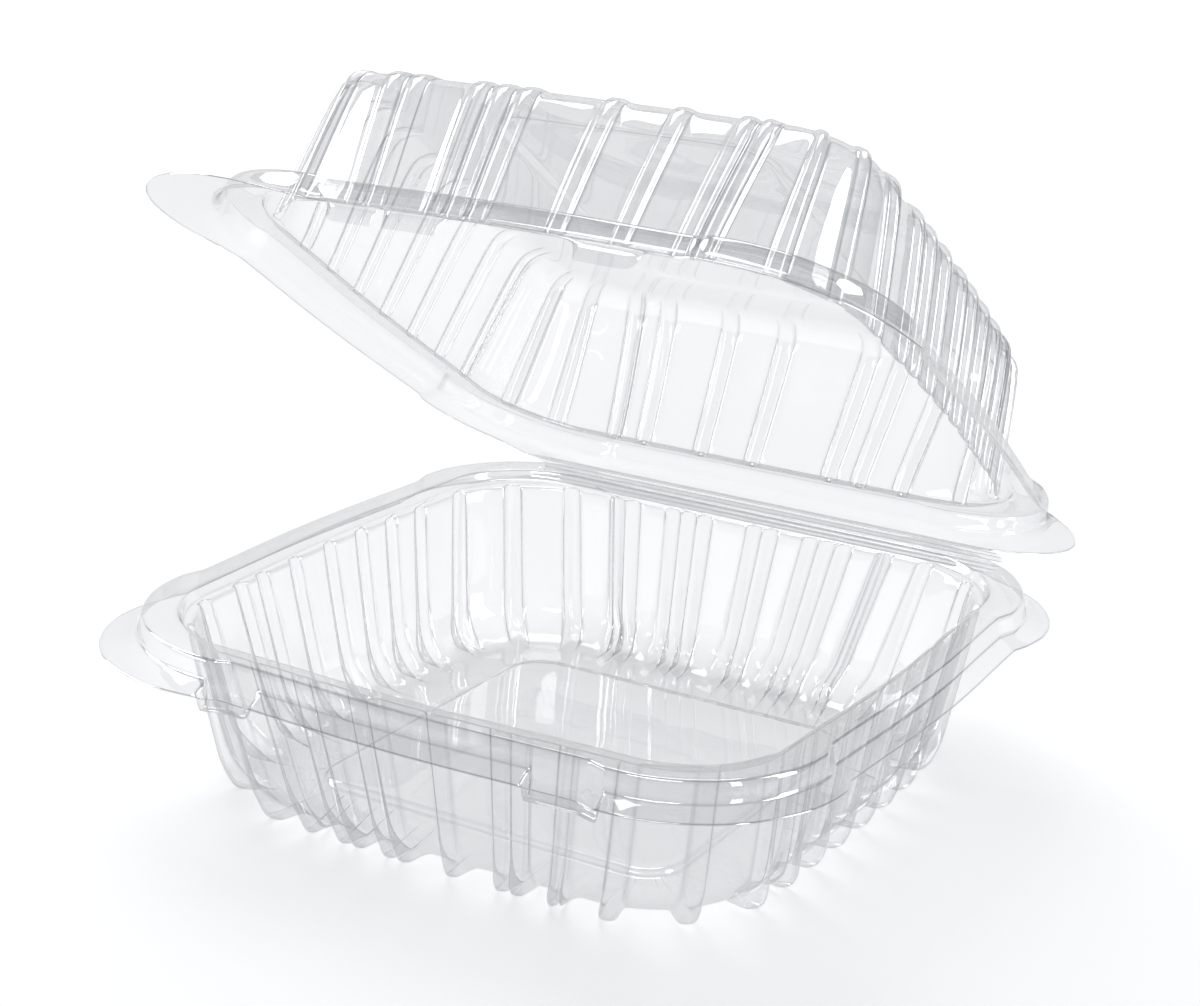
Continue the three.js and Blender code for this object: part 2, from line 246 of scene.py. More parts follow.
def side_places(ribs):
    """Places at the ends of the corner steps and round the corners, clear of the ribs."""
    found = {}
    for side in (FRONT, RIGHT, BACK, LEFT):
        for share in (-STEP_TO, -STEP_FROM, STEP_FROM, STEP_TO):
            found[(side, False, share)] = None
        for part in range(CORNER_PARTS + 1):
            share = part / CORNER_PARTS
            gaps = [abs(share - rib) * CORNER_ARC for rib in ribs["corner"]]
            if min(gaps) > RIB_HALF + RIB_CLEAR:
                found[(side, True, round(share, 5))] = None
    return found


def way_across(ribs, wall, share):
    """How far across a rib of the front a share lies, or None beside the ribs."""
    for rib in ribs[FRONT]:
        centre = share_at(wall, FRONT, rib)
        across = (share - centre) / (share_at(wall, FRONT, rib + RIB_HALF) - centre)
        if abs(across) < 1:
            return across
    return None


def lock_places(ribs, wall, locks):
    """Places at the walls of the locks on the front lip."""
    found = {}
    for start, end in locks:
        for x in (start, start + LOCK_WALL, end - LOCK_WALL, end):
            share = round(share_at(rim, FRONT, x), 5)
            found[(FRONT, False, share)] = way_across(ribs, wall, share)
    return found


print("the tray's pockets add", len(lock_places(BASE_RIBS, base_wall, POCKETS)), "places")

# %% [markdown]
# All places are then put in their order round the shell. Where two of them still stand so
# far apart that a bowed side would look like a row of flats, more are put between them.
# Nothing is put between the places of one rib, or its round back would be cut flat.

# %% Places round a shell
WIDEST_GAP = 3.5


def way_round(place):
    """How far round the outline a place lies: two for each side and its corner."""
    side, in_corner, share = place
    return 2 * side + (1 + share if in_corner else (share + 1) / 2)


def on_one_rib(across):
    """Whether a place lies on a rib."""
    return across is not None and abs(across) < 1


def filled(places, wall):
    """Adds places where two on one side stand further apart than the widest gap."""
    result = []
    for here, there in zip(places, places[1:] + places[:1]):
        result.append(here)
        if here[:2] != there[:2] or on_one_rib(here[3]) or on_one_rib(there[3]):
            continue
        side, in_corner, share, _ = here
        length = (outline_point(wall, there) - outline_point(wall, here)).length
        count = int(length // WIDEST_GAP)
        for k in range(1, count + 1):
            between = share + (there[2] - share) * k / (count + 1)
            result.append((side, in_corner, between, None))
    return result


def places_along(ribs, wall, locks):
    """All places round a shell. Where two kinds fall on one place, the rib's is kept."""
    found = {**lock_places(ribs, wall, locks), **side_places(ribs), **rib_places(ribs, wall)}
    ordered = sorted(found, key=way_round)
    return filled([(*place, found[place]) for place in ordered], wall)


base_places = places_along(BASE_RIBS, base_wall, POCKETS)
lid_places = places_along(LID_RIBS, lid_wall, TABS)
print("places round the tray:", len(base_places), "round the lid:", len(lid_places))

# %% [markdown]
# The lip is a flat flange round each half. At the back it runs straight to the fold. The
# fold is longer than the straight part of the back and ends part of the way round the two
# back corners, so those two turns are worked out first.

# %% Ends of the fold
LIP_OFFSET = 4.2
STRIP_START = 5.4
FOLD_FROM = -66
FOLD_TO = 55


def fold_ends():
    """Shares of the back corners' turns at which the lip meets the ends of the fold."""
    lip = level(LIP_OFFSET, 0)
    right_radius, left_radius = corner_radius(lip, RIGHT), corner_radius(lip, BACK)
    half = lip["half"][0]
    right = math.acos((FOLD_TO - half + right_radius) / right_radius) / QUARTER
    left = 1 - math.acos((-FOLD_FROM - half + left_radius) / left_radius) / QUARTER
    return right, left


fold_right, fold_left = fold_ends()
print("the fold starts at", round(fold_right, 2), "of the right corner's turn")
print("and ends at", round(fold_left, 2), "of the left corner's")


def at_fold(place):
    """Whether a place lies along the fold."""
    side, in_corner, share, _ = place
    if side == RIGHT:
        return in_corner and share > fold_right
    return side == BACK and (not in_corner or share < fold_left)


# %% [markdown]
# At two corners the lip widens into a half-moon ear, a grip to pull the container open,
# and at the locks its edge hangs lower. Each of these changes a few points of a plain
# outline, so each is a function that takes a point and gives it back moved.

# %% Ears and locks
EAR_SKEW = 0.85
LOCK_EDGE = 0.1


def ear_push(place, ears):
    """How far an ear reaches past the lip. ears is (front left, back right)."""
    side, in_corner, share, _ = place
    if in_corner and side == LEFT:
        return ears[0] * math.sin(math.pi * share**EAR_SKEW)
    if in_corner and side == RIGHT and share < fold_right:
        return ears[1] * math.sin(math.pi * (share / fold_right) ** EAR_SKEW)
    return 0


def lip_shape(ears, fold_reach):
    """A function that moves a point of the lip's edge out to the ear or back to the fold."""

    def moved(point, place):
        side, in_corner, share, _ = place
        turned = (side + share) * QUARTER if in_corner else 0
        push = ear_push(place, ears)
        result = point + Vector((math.sin(turned), -math.cos(turned), 0)) * push
        if at_fold(place):
            result.y = RIM_HALF_Y + fold_reach
        return result

    return moved


def in_lock(point, locks):
    """Whether a point of the front lip lies inside a lock."""
    return point.y < 0 and any(a + LOCK_EDGE < point.x < b - LOCK_EDGE for a, b in locks)


half_way = (LEFT, True, 0.5, None)
print("half way round its corner, a 4 mm ear reaches", round(ear_push(half_way, (4, 0)), 2))

# %% [markdown]
# The tray, from the edge of its lip inwards: lip, bead, ledge, ribbed wall, the ring that
# it stands on and the raised middle. Two outlines close together make a tight bend and
# two far apart a soft one, as the sheet bends in the mould. The first outline lies one
# thickness of the sheet below the second, which gives the cut edge.

# %% Levels of the tray
SHEET = 0.35
LIP_Z = 31.4
LOCK_DROP = 3.6
EDGE_INSET = 0.2
CORNER_STEP = 1.4
BEAD_TOP = 37.8
RING_Z = 0
MIDDLE_Z = 1.8
BASE_EARS = (4, 2)
base_edge = lip_shape(BASE_EARS, STRIP_START)
base_next = lip_shape(BASE_EARS, STRIP_START - EDGE_INSET)


def pocket(point, _):
    """Lowers a point of the tray's front lip to the bottom of a lock pocket."""
    if in_lock(point, POCKETS):
        return Vector((point.x, point.y, LIP_Z - LOCK_DROP))
    return point


BASE_LEVELS = [
    level(LIP_OFFSET, LIP_Z - SHEET, step=CORNER_STEP, shape=base_edge),
    level(LIP_OFFSET, LIP_Z, step=CORNER_STEP, shape=base_edge),
    level(4.0, LIP_Z + 0.03, step=CORNER_STEP, shape=base_next),
    level(3.6, 31.75, step=CORNER_STEP, shape=pocket),
    level(1.4, 33.1, step=CORNER_STEP, shape=pocket),
    level(0.8, 33.4, step=CORNER_STEP),
    level(0.6, 33.9, step=CORNER_STEP),
    level(0.1, 36.9, step=CORNER_STEP),
    level(-0.15, 37.5, step=CORNER_STEP),
    level(-0.7, BEAD_TOP, step=CORNER_STEP),
    level(-5.3, BEAD_TOP),
    level(-5.85, 37.5),
    level(-6.1, 36.9),
    level(-6.7, 35.6),
    level(-7.1, 35.3),
    level(-7.9, 35.25, 26, rib=0.6),
    level(-8.4, 34.9, 26, rib=1.4),
    level(-8.7, 34.0, 26, rib=1.9),
    level(-10.1, 22, 26, ear=2, rib=2.2, bow=1.3),
    level(-11.7, 9.6, 26, ear=4, rib=2.4, bow=1),
    level(-12.6, 6.4, 25.7, ear=4.4, rib=3.0, bow=0.9),
    level(-14.6, 3.4, 25, ear=5, rib=4.4, bow=0.7),
    level(-17, 1.3, 23, ear=4.6, rib=5.8, bow=0.6),
    level(-19.5, RING_Z, 21, ear=4, rib=7, bow=0.5),
    level(-21, RING_Z, 20, ear=3, rib=6, bow=0.4),
    level(-31.6, RING_Z, 9, bow=0),
    level(-32.3, RING_Z + 0.3, 8.6, bow=0),
    level(-32.9, 1.6, 8.1, bow=0),
    level(-33.6, MIDDLE_Z, 7.6, bow=0),
    level(-36, MIDDLE_Z, 6.5, bow=0),
    level(-44, MIDDLE_Z, 4, bow=0),
    level(-45, MIDDLE_Z, 4, bow=0),
]
print("the tray is", BEAD_TOP - RING_Z, "mm high and has", len(BASE_LEVELS), "outlines")

# %% [markdown]
# The lid, as it lies when shut: lip, the channel that snaps over the tray's bead, the
# ribbed dome and a raised panel on top. It could be drawn standing open, but every
# outline would then be tilted. So it is drawn level and turned about the fold afterwards.

# %% Levels of the lid
LID_LIP_OFFSET = 5.2
LID_LIP_Z = 31.8
CHANNEL_TOP = 38.3
DOME_TOP = 69.15
PANEL_Z = 69.75
LID_EARS = (9.4, 3)
lid_edge = lip_shape(LID_EARS, STRIP_START)
lid_next = lip_shape(LID_EARS, STRIP_START - EDGE_INSET)


def tab_edge(point, place):
    """The lid's edge, lowered at the lock tabs."""
    result = lid_edge(point, place)
    if in_lock(point, TABS):
        result.z -= LOCK_DROP
    return result


LID_LEVELS = [
    level(LID_LIP_OFFSET, LID_LIP_Z - SHEET, step=CORNER_STEP, shape=tab_edge),
    level(LID_LIP_OFFSET, LID_LIP_Z, step=CORNER_STEP, shape=tab_edge),
    level(4.9, LID_LIP_Z + 0.05, step=CORNER_STEP, shape=lid_next),
    level(2.4, 32.6, step=CORNER_STEP),
    level(1.3, 33.8, step=CORNER_STEP),
    level(0.9, 34.4, step=CORNER_STEP),
    level(0.45, 37.3, step=CORNER_STEP),
    level(0.2, 37.95, step=CORNER_STEP),
    level(-0.5, CHANNEL_TOP, step=CORNER_STEP),
    level(-5.5, CHANNEL_TOP),
    level(-6.1, 38),
    level(-6.5, 37.3),
    level(-7, 36.5),
    level(-8.4, 36.3, 23.5, ear=4.5, rib=0.6),
    level(-9.2, 36.7, 22.5, ear=4, rib=1.6),
    level(-9.7, 38.2, 22.3, ear=4, rib=2),
    level(-11.8, 51, 19.5, ear=2, offset_y=-12.2, rib=2.1, bow=1.2),
    level(-14.0, 64.2, 16.3, ear=0.3, offset_y=-15, rib=2.1, bow=0.9),
    level(-15.2, 67, 15, offset_y=-16.2, rib=2.1, bow=0.85),
    level(-17.6, 68.7, 13.3, offset_y=-18.6, rib=1.9, bow=0.7),
    level(-20.5, 69.1, 12, offset_y=-21.5, rib=1.2, bow=0.5),
    level(-22.5, DOME_TOP, 11.5, offset_y=-23.5, bow=0.4),
    level(-41.9, DOME_TOP, 9.4, offset_y=-33.9, bow=0),
    level(-42.5, 69.4, 9, offset_y=-34.5, bow=0),
    level(-43.1, 69.7, 8.6, offset_y=-35.1, bow=0),
    level(-45, PANEL_Z, 7, offset_y=-38, bow=0),
    level(-49, PANEL_Z, 5.5, offset_y=-43, bow=0),
    level(-50, PANEL_Z, 5, offset_y=-44, bow=0),
]
print("shut, the lid is", PANEL_Z, "mm high and has", len(LID_LEVELS), "outlines")

# %% [markdown]
# A shell could be sculpted from a cube, but it never leaves its stack of outlines, so it
# is drawn out ring by ring: a circle is laid on the lip's edge, its edge is extruded, the
# new ring is laid on the next outline, and so on to the flat middle. After an extrusion
# only the new ring is selected, which is how it is found.

# %% Ring by ring
CUT_SLOT = 1


def lay(verts, places, lev):
    """Puts a ring of vertices on an outline."""
    for vert, place in zip(verts, places):
        point = outline_point(lev, place)
        if lev["shape"]:
            point = lev["shape"](point, place)
        vert.co = point * MM + middle


def drawn_out(vert):
    """The index of the new vertex that the extrusion drew out of this one."""
    ends = [edge.other_vert(vert) for edge in vert.link_edges]
    return next(end.index for end in ends if end.select)


def shell(name, levels, places):
    """A sheet drawn out ring by ring from the edge of its lip."""
    bpy.ops.object.select_all(action="DESELECT")
    size = RIM_HALF_X * MM
    bpy.ops.mesh.primitive_circle_add(vertices=len(places), radius=size, fill_type="NOTHING")
    obj = bpy.context.object
    obj.name = name
    bpy.ops.object.mode_set(mode="EDIT")
    bpy.ops.mesh.select_all(action="SELECT")
    mesh = bmesh.from_edit_mesh(obj.data)
    mesh.verts.ensure_lookup_table()
    ring = list(range(len(places)))
    lay([mesh.verts[i] for i in ring], places, levels[0])
    for lev in levels[1:]:
        bpy.ops.mesh.extrude_edges_move()
        mesh = bmesh.from_edit_mesh(obj.data)
        mesh.verts.ensure_lookup_table()
        if len(mesh.faces) == len(places):
            for face in mesh.faces:
                face.material_index = CUT_SLOT
        ring = [drawn_out(mesh.verts[i]) for i in ring]
        lay([mesh.verts[i] for i in ring], places, lev)
        bmesh.update_edit_mesh(obj.data)
    bpy.ops.object.mode_set(mode="OBJECT")
    print(name, "has", len(obj.data.polygons), "faces")
    return obj


base = shell("tray_shell", BASE_LEVELS, base_places)
lid = shell("lid_shell", LID_LEVELS, lid_places)

# %% [markdown]
# Vacuum forming leaves no sharp edge but the cut one. The bends could be bevelled one by
# one, but a Subdivision Surface modifier rounds them all, and smooth shading does the
# rest. It runs while the middle is still open, because a face with hundreds of corners
# would pull the sheet into a star, and one flat face closes the middle afterwards.

# %% Round the bends
SUBDIVISIONS = 1
MIDDLE_SHARE = 0.8


def rounded(obj):
    """Subdivides the sheet and shades it smooth."""
    bpy.ops.object.select_all(action="DESELECT")
    obj.select_set(True)
    bpy.context.view_layer.objects.active = obj
    smooth = obj.modifiers.new("bends", "SUBSURF")
    smooth.levels = SUBDIVISIONS
    smooth.render_levels = SUBDIVISIONS
    bpy.ops.object.modifier_apply(modifier=smooth.name)
    bpy.ops.object.shade_smooth()
    print(obj.name, "now has", len(obj.data.polygons), "faces")


def close_middle(obj):
    """Closes the flat middle of a shell with one face. Its outer edge stays open."""
    bpy.ops.object.mode_set(mode="EDIT")
    bpy.ops.mesh.select_all(action="DESELECT")
    mesh = bmesh.from_edit_mesh(obj.data)
    inner = []
    for edge in mesh.edges:
        reach = (edge.verts[0].co - middle).to_2d().length
        if edge.is_boundary and reach < RIM_HALF_X * MM * MIDDLE_SHARE:
            edge.select_set(True)
            inner.append(edge)
    print(obj.name, "closes", len(inner), "edges")
    bpy.ops.mesh.edge_face_add()
    bpy.ops.mesh.select_all(action="SELECT")
    bpy.ops.mesh.normals_make_consistent(inside=False)
    bpy.ops.object.mode_set(mode="OBJECT")


for piece in (base, lid):
    rounded(piece)
    close_middle(piece)

# %% [markdown]
# Clear sheet is seen by its bends: each tight one bundles the light into a fine line. The
# lines could be modelled as thin strips, but the sheet already knows where it bends. So
# how tightly it curves at each point is kept in an attribute named "bend", from which the
# material later paints the lines in, as painted shade and painted highlight. It is 1 where
# the radius is TIGHT_RADIUS or less, and the square makes it fade fast beside the bend.

# %% Mark the bends
TIGHT_RADIUS = 0.62
NEAREST = 0.01


def curve_at(edge):
    """How tightly the sheet curves across an edge: one over the radius of the bend."""
    one, other = (face.calc_center_median() for face in edge.link_faces)
    return edge.calc_face_angle(0) / max((one - other).length, NEAREST * MM)


def mark_bends(obj):
    """Keeps in an attribute how sharply the sheet bends at each vertex, from 0 to 1."""
    mesh = bmesh.new()
    mesh.from_mesh(obj.data)
    mesh.verts.ensure_lookup_table()
    bends = [0.0] * len(mesh.verts)
    for vert in mesh.verts:
        curves = [curve_at(edge) for edge in vert.link_edges if len(edge.link_faces) == 2]
        bends[vert.index] = min(1, max(curves, default=0) * TIGHT_RADIUS * MM) ** 2
    mesh.free()
    attribute = obj.data.attributes.new("bend", "FLOAT", "POINT")
    attribute.data.foreach_set("value", bends)
    print(obj.name, "bends by", round(sum(bends) / len(bends), 3), "on average")


for piece in (base, lid):
    mark_bends(piece)

# %% [markdown]
# The lid was drawn lying shut on the tray. Turning the object would leave it with a
# rotation of its own, so all its vertices are turned in edit mode instead, with the fold
# line as the centre of the turn, and the object itself stays at the origin.

# %% Open the lid
OPEN_ANGLE = math.radians(32.5)


def turn_open(obj):
    """Turns all vertices about the fold line by the angle that the lid stands open."""
    bpy.ops.object.select_all(action="DESELECT")
    obj.select_set(True)
    bpy.context.view_layer.objects.active = obj
    bpy.ops.object.mode_set(mode="EDIT")
    bpy.ops.mesh.select_all(action="SELECT")
    bpy.ops.transform.rotate(
        value=OPEN_ANGLE,
        orient_axis="X",
        orient_type="GLOBAL",
        center_override=fold_line,
    )
    bpy.ops.object.mode_set(mode="OBJECT")


def extent(obj):
    """The lowest and highest corner of an object's mesh, in millimetres."""
    points = [obj.matrix_world @ v.co / MM for v in obj.data.vertices]
    low = [round(min(p[k] for p in points), 1) for k in range(3)]
    high = [round(max(p[k] for p in points), 1) for k in range(3)]
    return low, high


turn_open(lid)
print("tray", extent(base), "lid", extent(lid))

# %% [markdown]
# The fold is a strip of fine ridges between the two lips, which lets stiff plastic bend
# again and again. It could be part of either shell, but the real one bends as the lid
# opens, so here it is a piece of its own, drawn as it lies with the lid open. A grid is
# laid over it: one half level with the tray's lip, the other turned up with the lid's.
# The ridges die out at the fold line, where the halves meet.

# %% The ridged fold
RIDGES = 3
RIDGE_HEIGHT = 0.55
STRIP_ROWS = 48
STRIP_COLUMNS = 60
STRIP_LAP = 0.3
STRIP_RISE = 0.2
STRIP_EASE = 8


def fold_profile(share):
    """A point across the strip, from the fold line: along the lip and upwards."""
    reach = FOLD_REACH - STRIP_START + STRIP_LAP
    wave = 0.5 - 0.5 * math.cos(2 * math.pi * RIDGES * abs(share))
    lift = (STRIP_RISE + RIDGE_HEIGHT * wave) * min(1, abs(share) * STRIP_EASE)
    return -abs(share) * reach, math.copysign(lift, share)


def fold_strip():
    """The strip between the lips."""
    bpy.ops.object.select_all(action="DESELECT")
    bpy.ops.mesh.primitive_grid_add(
        x_subdivisions=STRIP_COLUMNS, y_subdivisions=STRIP_ROWS, size=2
    )
    obj = bpy.context.object
    obj.name = "fold_strip"
    turn = Matrix.Rotation(-OPEN_ANGLE, 3, "X")
    bpy.ops.object.mode_set(mode="EDIT")
    mesh = bmesh.from_edit_mesh(obj.data)
    for vert in mesh.verts:
        along, up = fold_profile(vert.co.y)
        offset = Vector((0, along, up))
        if vert.co.y > 0:
            offset = turn @ offset
        x = FOLD_FROM + (FOLD_TO - FOLD_FROM) * (vert.co.x + 1) / 2
        vert.co = fold_line + Vector((x, offset.y, offset.z)) * MM
    bmesh.update_edit_mesh(obj.data)
    bpy.ops.mesh.select_all(action="SELECT")
    bpy.ops.mesh.normals_make_consistent(inside=False)
    bpy.ops.object.mode_set(mode="OBJECT")
    return obj


strip = fold_strip()
rounded(strip)
mark_bends(strip)
print("strip", extent(strip))

# %% [markdown]
# Colours are written as sRGB hex codes, as a colour picker shows them, and one function
# turns them into the linear values that shaders take. A material is a graph of nodes. It
# could be wired by hand in the Shader Editor, and a helper that adds a node with its
# settings and inputs keeps the same graph readable as code.


# %% Colours and nodes
def linear(code):
    """A colour written as an sRGB hex code, as the linear values that shaders take."""
    values = [int(code[k : k + 2], 16) / 255 for k in (0, 2, 4)]
    return [v / 12.92 if v <= 0.04045 else ((v + 0.055) / 1.055) ** 2.4 for v in values]


def add_node(tree, kind, settings=None, inputs=None):
    """Adds a node with its settings. An input is a value, or an output to link to it."""
    node = tree.nodes.new("ShaderNode" + kind)
    for name, value in (settings or {}).items():
        setattr(node, name, value)
    for socket, value in (inputs or {}).items():
        if isinstance(value, bpy.types.NodeSocket):
            tree.links.new(value, node.inputs[socket])
        else:
            node.inputs[socket].default_value = value
    return node


def bare_material(name):
    """A new material without nodes."""
    material = bpy.data.materials.new(name)
    material.use_nodes = True
    material.node_tree.nodes.clear()
    return material


print("808080 is", [round(value, 3) for value in linear("808080")], "in linear values")

# %% [markdown]
# The container is clear PET, a sheet a third of a millimetre thick, softened by heat and
# drawn over a mould. It could be shaded as glass with an inner and an outer wall, but a
# sheet this thin hardly shifts what is seen through it, and glass casts dark shadows. So
# it is one surface that lets most light straight through and mirrors the rest. Clear PET
# bends light by an index of 1.57, and the share of the mirror follows the Fresnel law,
# counted for both faces of the sheet: 2F / (1 + F). On its back the Fresnel node turns
# the index over, so there it is given one over the index. At a tight bend the mirror's
# share is raised, a painted highlight.

# %% What the sheet mirrors
PET_IOR = 1.57
# Painted highlight: how much more a tight bend mirrors
BEND_PAINTED_SHINE = 0.3


def mirror_share(tree, bend):
    """The share of the light that the sheet mirrors, raised at tight bends as a painted
    highlight.
    """
    back = add_node(tree, "NewGeometry").outputs["Backfacing"]
    turned = {0: back, 1: 1 / PET_IOR - PET_IOR, 2: PET_IOR}
    index = add_node(tree, "Math", {"operation": "MULTIPLY_ADD"}, turned).outputs[0]
    fresnel = add_node(tree, "Fresnel", inputs={"IOR": index}).outputs[0]
    double = add_node(tree, "Math", {"operation": "MULTIPLY"}, {0: fresnel, 1: 2}).outputs[0]
    whole = add_node(tree, "Math", {"operation": "ADD"}, {0: fresnel, 1: 1}).outputs[0]
    both = add_node(tree, "Math", {"operation": "DIVIDE"}, {0: double, 1: whole}).outputs[0]
    # A tight bend mirrors more: a painted highlight.
    brighter = {0: bend, 1: BEND_PAINTED_SHINE, 2: both}
    return add_node(tree, "Math", {"operation": "MULTIPLY_ADD"}, brighter).outputs[0]


head_on = ((PET_IOR - 1) / (PET_IOR + 1)) ** 2
print("head on, both faces mirror", round(2 * head_on / (1 + head_on), 3), "of the light")

# %% [markdown]
# One sheet is nearly colourless, so its tint is judged on a stack: ten sheets together
# are a light grey with a trace of blue. Light that passes at a slant has further to go,
# by one over the cosine, which greys the steep sides. Past SLANT_LIMIT that way grows no
# longer, because the real sheet shows its mirror image there. At a tight bend the way is
# also counted longer, a painted shade: the bend shows as a fine dark line, where the real
# sheet turns the light aside.

# %% What the sheet lets through
STACK = 10
STACK_GREY = "CECFD2"
SLANT_LIMIT = 0.3
# Painted shade: how many more thicknesses a tight bend counts, for its dark line
BEND_PAINTED_SHADE = 6.5


def way_through(tree, bend):
    """How many thicknesses of the sheet the light passes, counted longer at tight bends as
    painted shade.
    """
    slant = add_node(tree, "LayerWeight").outputs["Facing"]
    cosine = add_node(tree, "Math", {"operation": "SUBTRACT"}, {0: 1, 1: slant}).outputs[0]
    limits = {0: cosine, 1: SLANT_LIMIT}
    limited = add_node(tree, "Math", {"operation": "MAXIMUM"}, limits).outputs[0]
    way = add_node(tree, "Math", {"operation": "DIVIDE"}, {0: 1, 1: limited}).outputs[0]
    # A tight bend counts as a longer way: painted shade, drawn as a dark line.
    longer = {0: bend, 1: BEND_PAINTED_SHADE, 2: way}
    return add_node(tree, "Math", {"operation": "MULTIPLY_ADD"}, longer).outputs[0]


def passed_tint(tree, way):
    """The colour of the light that has passed so many thicknesses."""
    stacks = add_node(tree, "Math", {"operation": "DIVIDE"}, {0: way, 1: STACK}).outputs[0]
    channels = {}
    for channel, share in enumerate(linear(STACK_GREY)):
        power = {0: share, 1: stacks}
        channels[channel] = add_node(tree, "Math", {"operation": "POWER"}, power).outputs[0]
    return add_node(tree, "CombineColor", inputs=channels).outputs[0]


one_sheet = [round(share ** (1 / STACK), 4) for share in linear(STACK_GREY)]
print("one sheet lets through", one_sheet)

# %% [markdown]
# The mould polishes the sheet, but formed plastic is never quite flat: it keeps broad,
# shallow ripples, 16 mm from wave to wave, which break up the mirror image. They could
# be modelled, but the flat parts of the mesh have too few points to carry them, so they
# are a bump of soft noise. It acts on the mirror alone: what is seen through a thin
# sheet stays where it is.

# %% Clear PET
PET_POLISH = 0.022
RIPPLE = 16
RIPPLE_DEPTH = 0.14


def clear_pet():
    """Clear PET formed by vacuum: glossy, with painted shade and painted highlight at its
    bends, and mirrored light.
    """
    material = bare_material("clear_pet_sheet")
    tree = material.node_tree
    bend = add_node(tree, "Attribute", {"attribute_name": "bend"}).outputs["Fac"]
    place = add_node(tree, "TexCoord").outputs["Object"]
    noise = {"Vector": place, "Scale": 1 / (RIPPLE * MM), "Detail": 1}
    ripple = add_node(tree, "TexNoise", inputs=noise).outputs[0]
    relief = {"Height": ripple, "Strength": 1, "Distance": RIPPLE_DEPTH * MM}
    bump = add_node(tree, "Bump", inputs=relief).outputs[0]
    tint = passed_tint(tree, way_through(tree, bend))
    through = add_node(tree, "BsdfTransparent", inputs={"Color": tint}).outputs[0]
    polish = {"Roughness": PET_POLISH, "Normal": bump}
    shine = add_node(tree, "BsdfGlossy", inputs=polish).outputs[0]
    parts = {0: mirror_share(tree, bend), 1: through, 2: shine}
    surface = add_node(tree, "MixShader", inputs=parts).outputs[0]
    add_node(tree, "OutputMaterial", inputs={"Surface": surface})
    print(material.name, "has", len(tree.nodes), "nodes")
    return material


pet = clear_pet()

# %% [markdown]
# Where the container was cut out of the sheet, the die leaves the PET edge a little
# rough. It could be left as clear as the rest, but on the real one it shows as a grey
# line with a frosted glint. The narrow first ring of each shell is that edge, and it
# has a material of its own: darker to look through, a painted shade for the light that
# the end of the sheet turns aside, and with a blurred gloss for its roughness.

# %% Cut edge
# Painted shade: the grey seen through the cut edge
CUT_SHADE_GREY = "6E7076"
CUT_ROUGHNESS = 0.4
CUT_GLINT = 0.25


def cut_edge():
    """The raw edge of the PET sheet: a grey line of painted shade, with a frosted glint."""
    material = bare_material("cut_pet_edge")
    tree = material.node_tree
    # The grey is painted shade for the light that the end of the sheet turns aside.
    grey = (*linear(CUT_SHADE_GREY), 1)
    through = add_node(tree, "BsdfTransparent", inputs={"Color": grey}).outputs[0]
    frost = add_node(tree, "BsdfGlossy", inputs={"Roughness": CUT_ROUGHNESS}).outputs[0]
    parts = {0: CUT_GLINT, 1: through, 2: frost}
    surface = add_node(tree, "MixShader", inputs=parts).outputs[0]
    add_node(tree, "OutputMaterial", inputs={"Surface": surface})
    return material


edge_look = cut_edge()
for piece in (base, lid, strip):
    piece.data.materials.clear()
    piece.data.materials.append(pet)
    piece.data.materials.append(edge_look)
    print(piece.name, "is made of", [material.name for material in piece.data.materials])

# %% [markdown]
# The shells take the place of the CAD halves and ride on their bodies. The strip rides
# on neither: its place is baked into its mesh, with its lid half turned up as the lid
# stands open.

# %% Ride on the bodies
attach(base, "base")
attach(lid, "lid")
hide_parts("base")
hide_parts("lid")
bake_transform(strip)

# %% [markdown]
# The photo is a packshot on pure white: white paper that is lit until it burns out. The
# studio is measured in metres and set up along the direction in which the camera looks.
# In front of the container, from DIM_TO forwards, the paper's colour and glow are painted
# dimmer until DIM_FROM, a painted shade, so the sheet mirrors a darker tone there and
# stands off the white. One even colour would be simpler, but then the clear walls would
# all but vanish in it.

# %% White paper
VIEW_TURN = math.radians(29)
DIM_FROM = -0.75
DIM_TO = -0.3
# Painted shade: the share of colour and glow left in front of the container
DIM_SHARE = 0.22
PAPER_WHITE = "F4F4F4"
PAPER_ROUGHNESS = 0.9
PAPER_GLOSS = 0.1
PAPER_GLOW = 0.45

away = Vector((-math.sin(VIEW_TURN), math.cos(VIEW_TURN), 0))


def white_paper():
    """Matt white paper with a faint glow, its colour and glow dimmed towards the front of
    the studio as painted shade.
    """
    material = bpy.data.materials.new("white_paper")
    material.use_nodes = True
    tree = material.node_tree
    surface = tree.nodes["Principled BSDF"]
    surface.inputs["Roughness"].default_value = PAPER_ROUGHNESS
    surface.inputs["Specular IOR Level"].default_value = PAPER_GLOSS
    surface.inputs["Emission Strength"].default_value = PAPER_GLOW
    place = add_node(tree, "TexCoord").outputs["Object"]
    along = add_node(tree, "VectorMath", {"operation": "DOT_PRODUCT"}, {0: place, 1: away})
    spread = {"From Min": DIM_FROM, "From Max": DIM_TO, "To Min": DIM_SHARE, "To Max": 1}
    spread["Value"] = along.outputs["Value"]
    share = add_node(tree, "MapRange", inputs=spread).outputs["Result"]
    for socket in ("Base Color", "Emission Color"):
        channels = {}
        for channel, value in enumerate(linear(PAPER_WHITE)):
            dimmed = {0: share, 1: value}
            node = add_node(tree, "Math", {"operation": "MULTIPLY"}, dimmed)
            channels[channel] = node.outputs[0]
        tone = add_node(tree, "CombineColor", inputs=channels).outputs[0]
        tree.links.new(tone, surface.inputs[socket])
    print(material.name, "is", DIM_SHARE, "as bright in front of the container")
    return material


paper = white_paper()

# %% [markdown]
# The paper lies a hair's breadth under the container, so that the two never share a
# plane. A glowing wall closes the studio behind it. The wall is what the clear sheet
# mirrors at the back. It throws no shadow, because the high window that lights the paper
# stands beyond it.

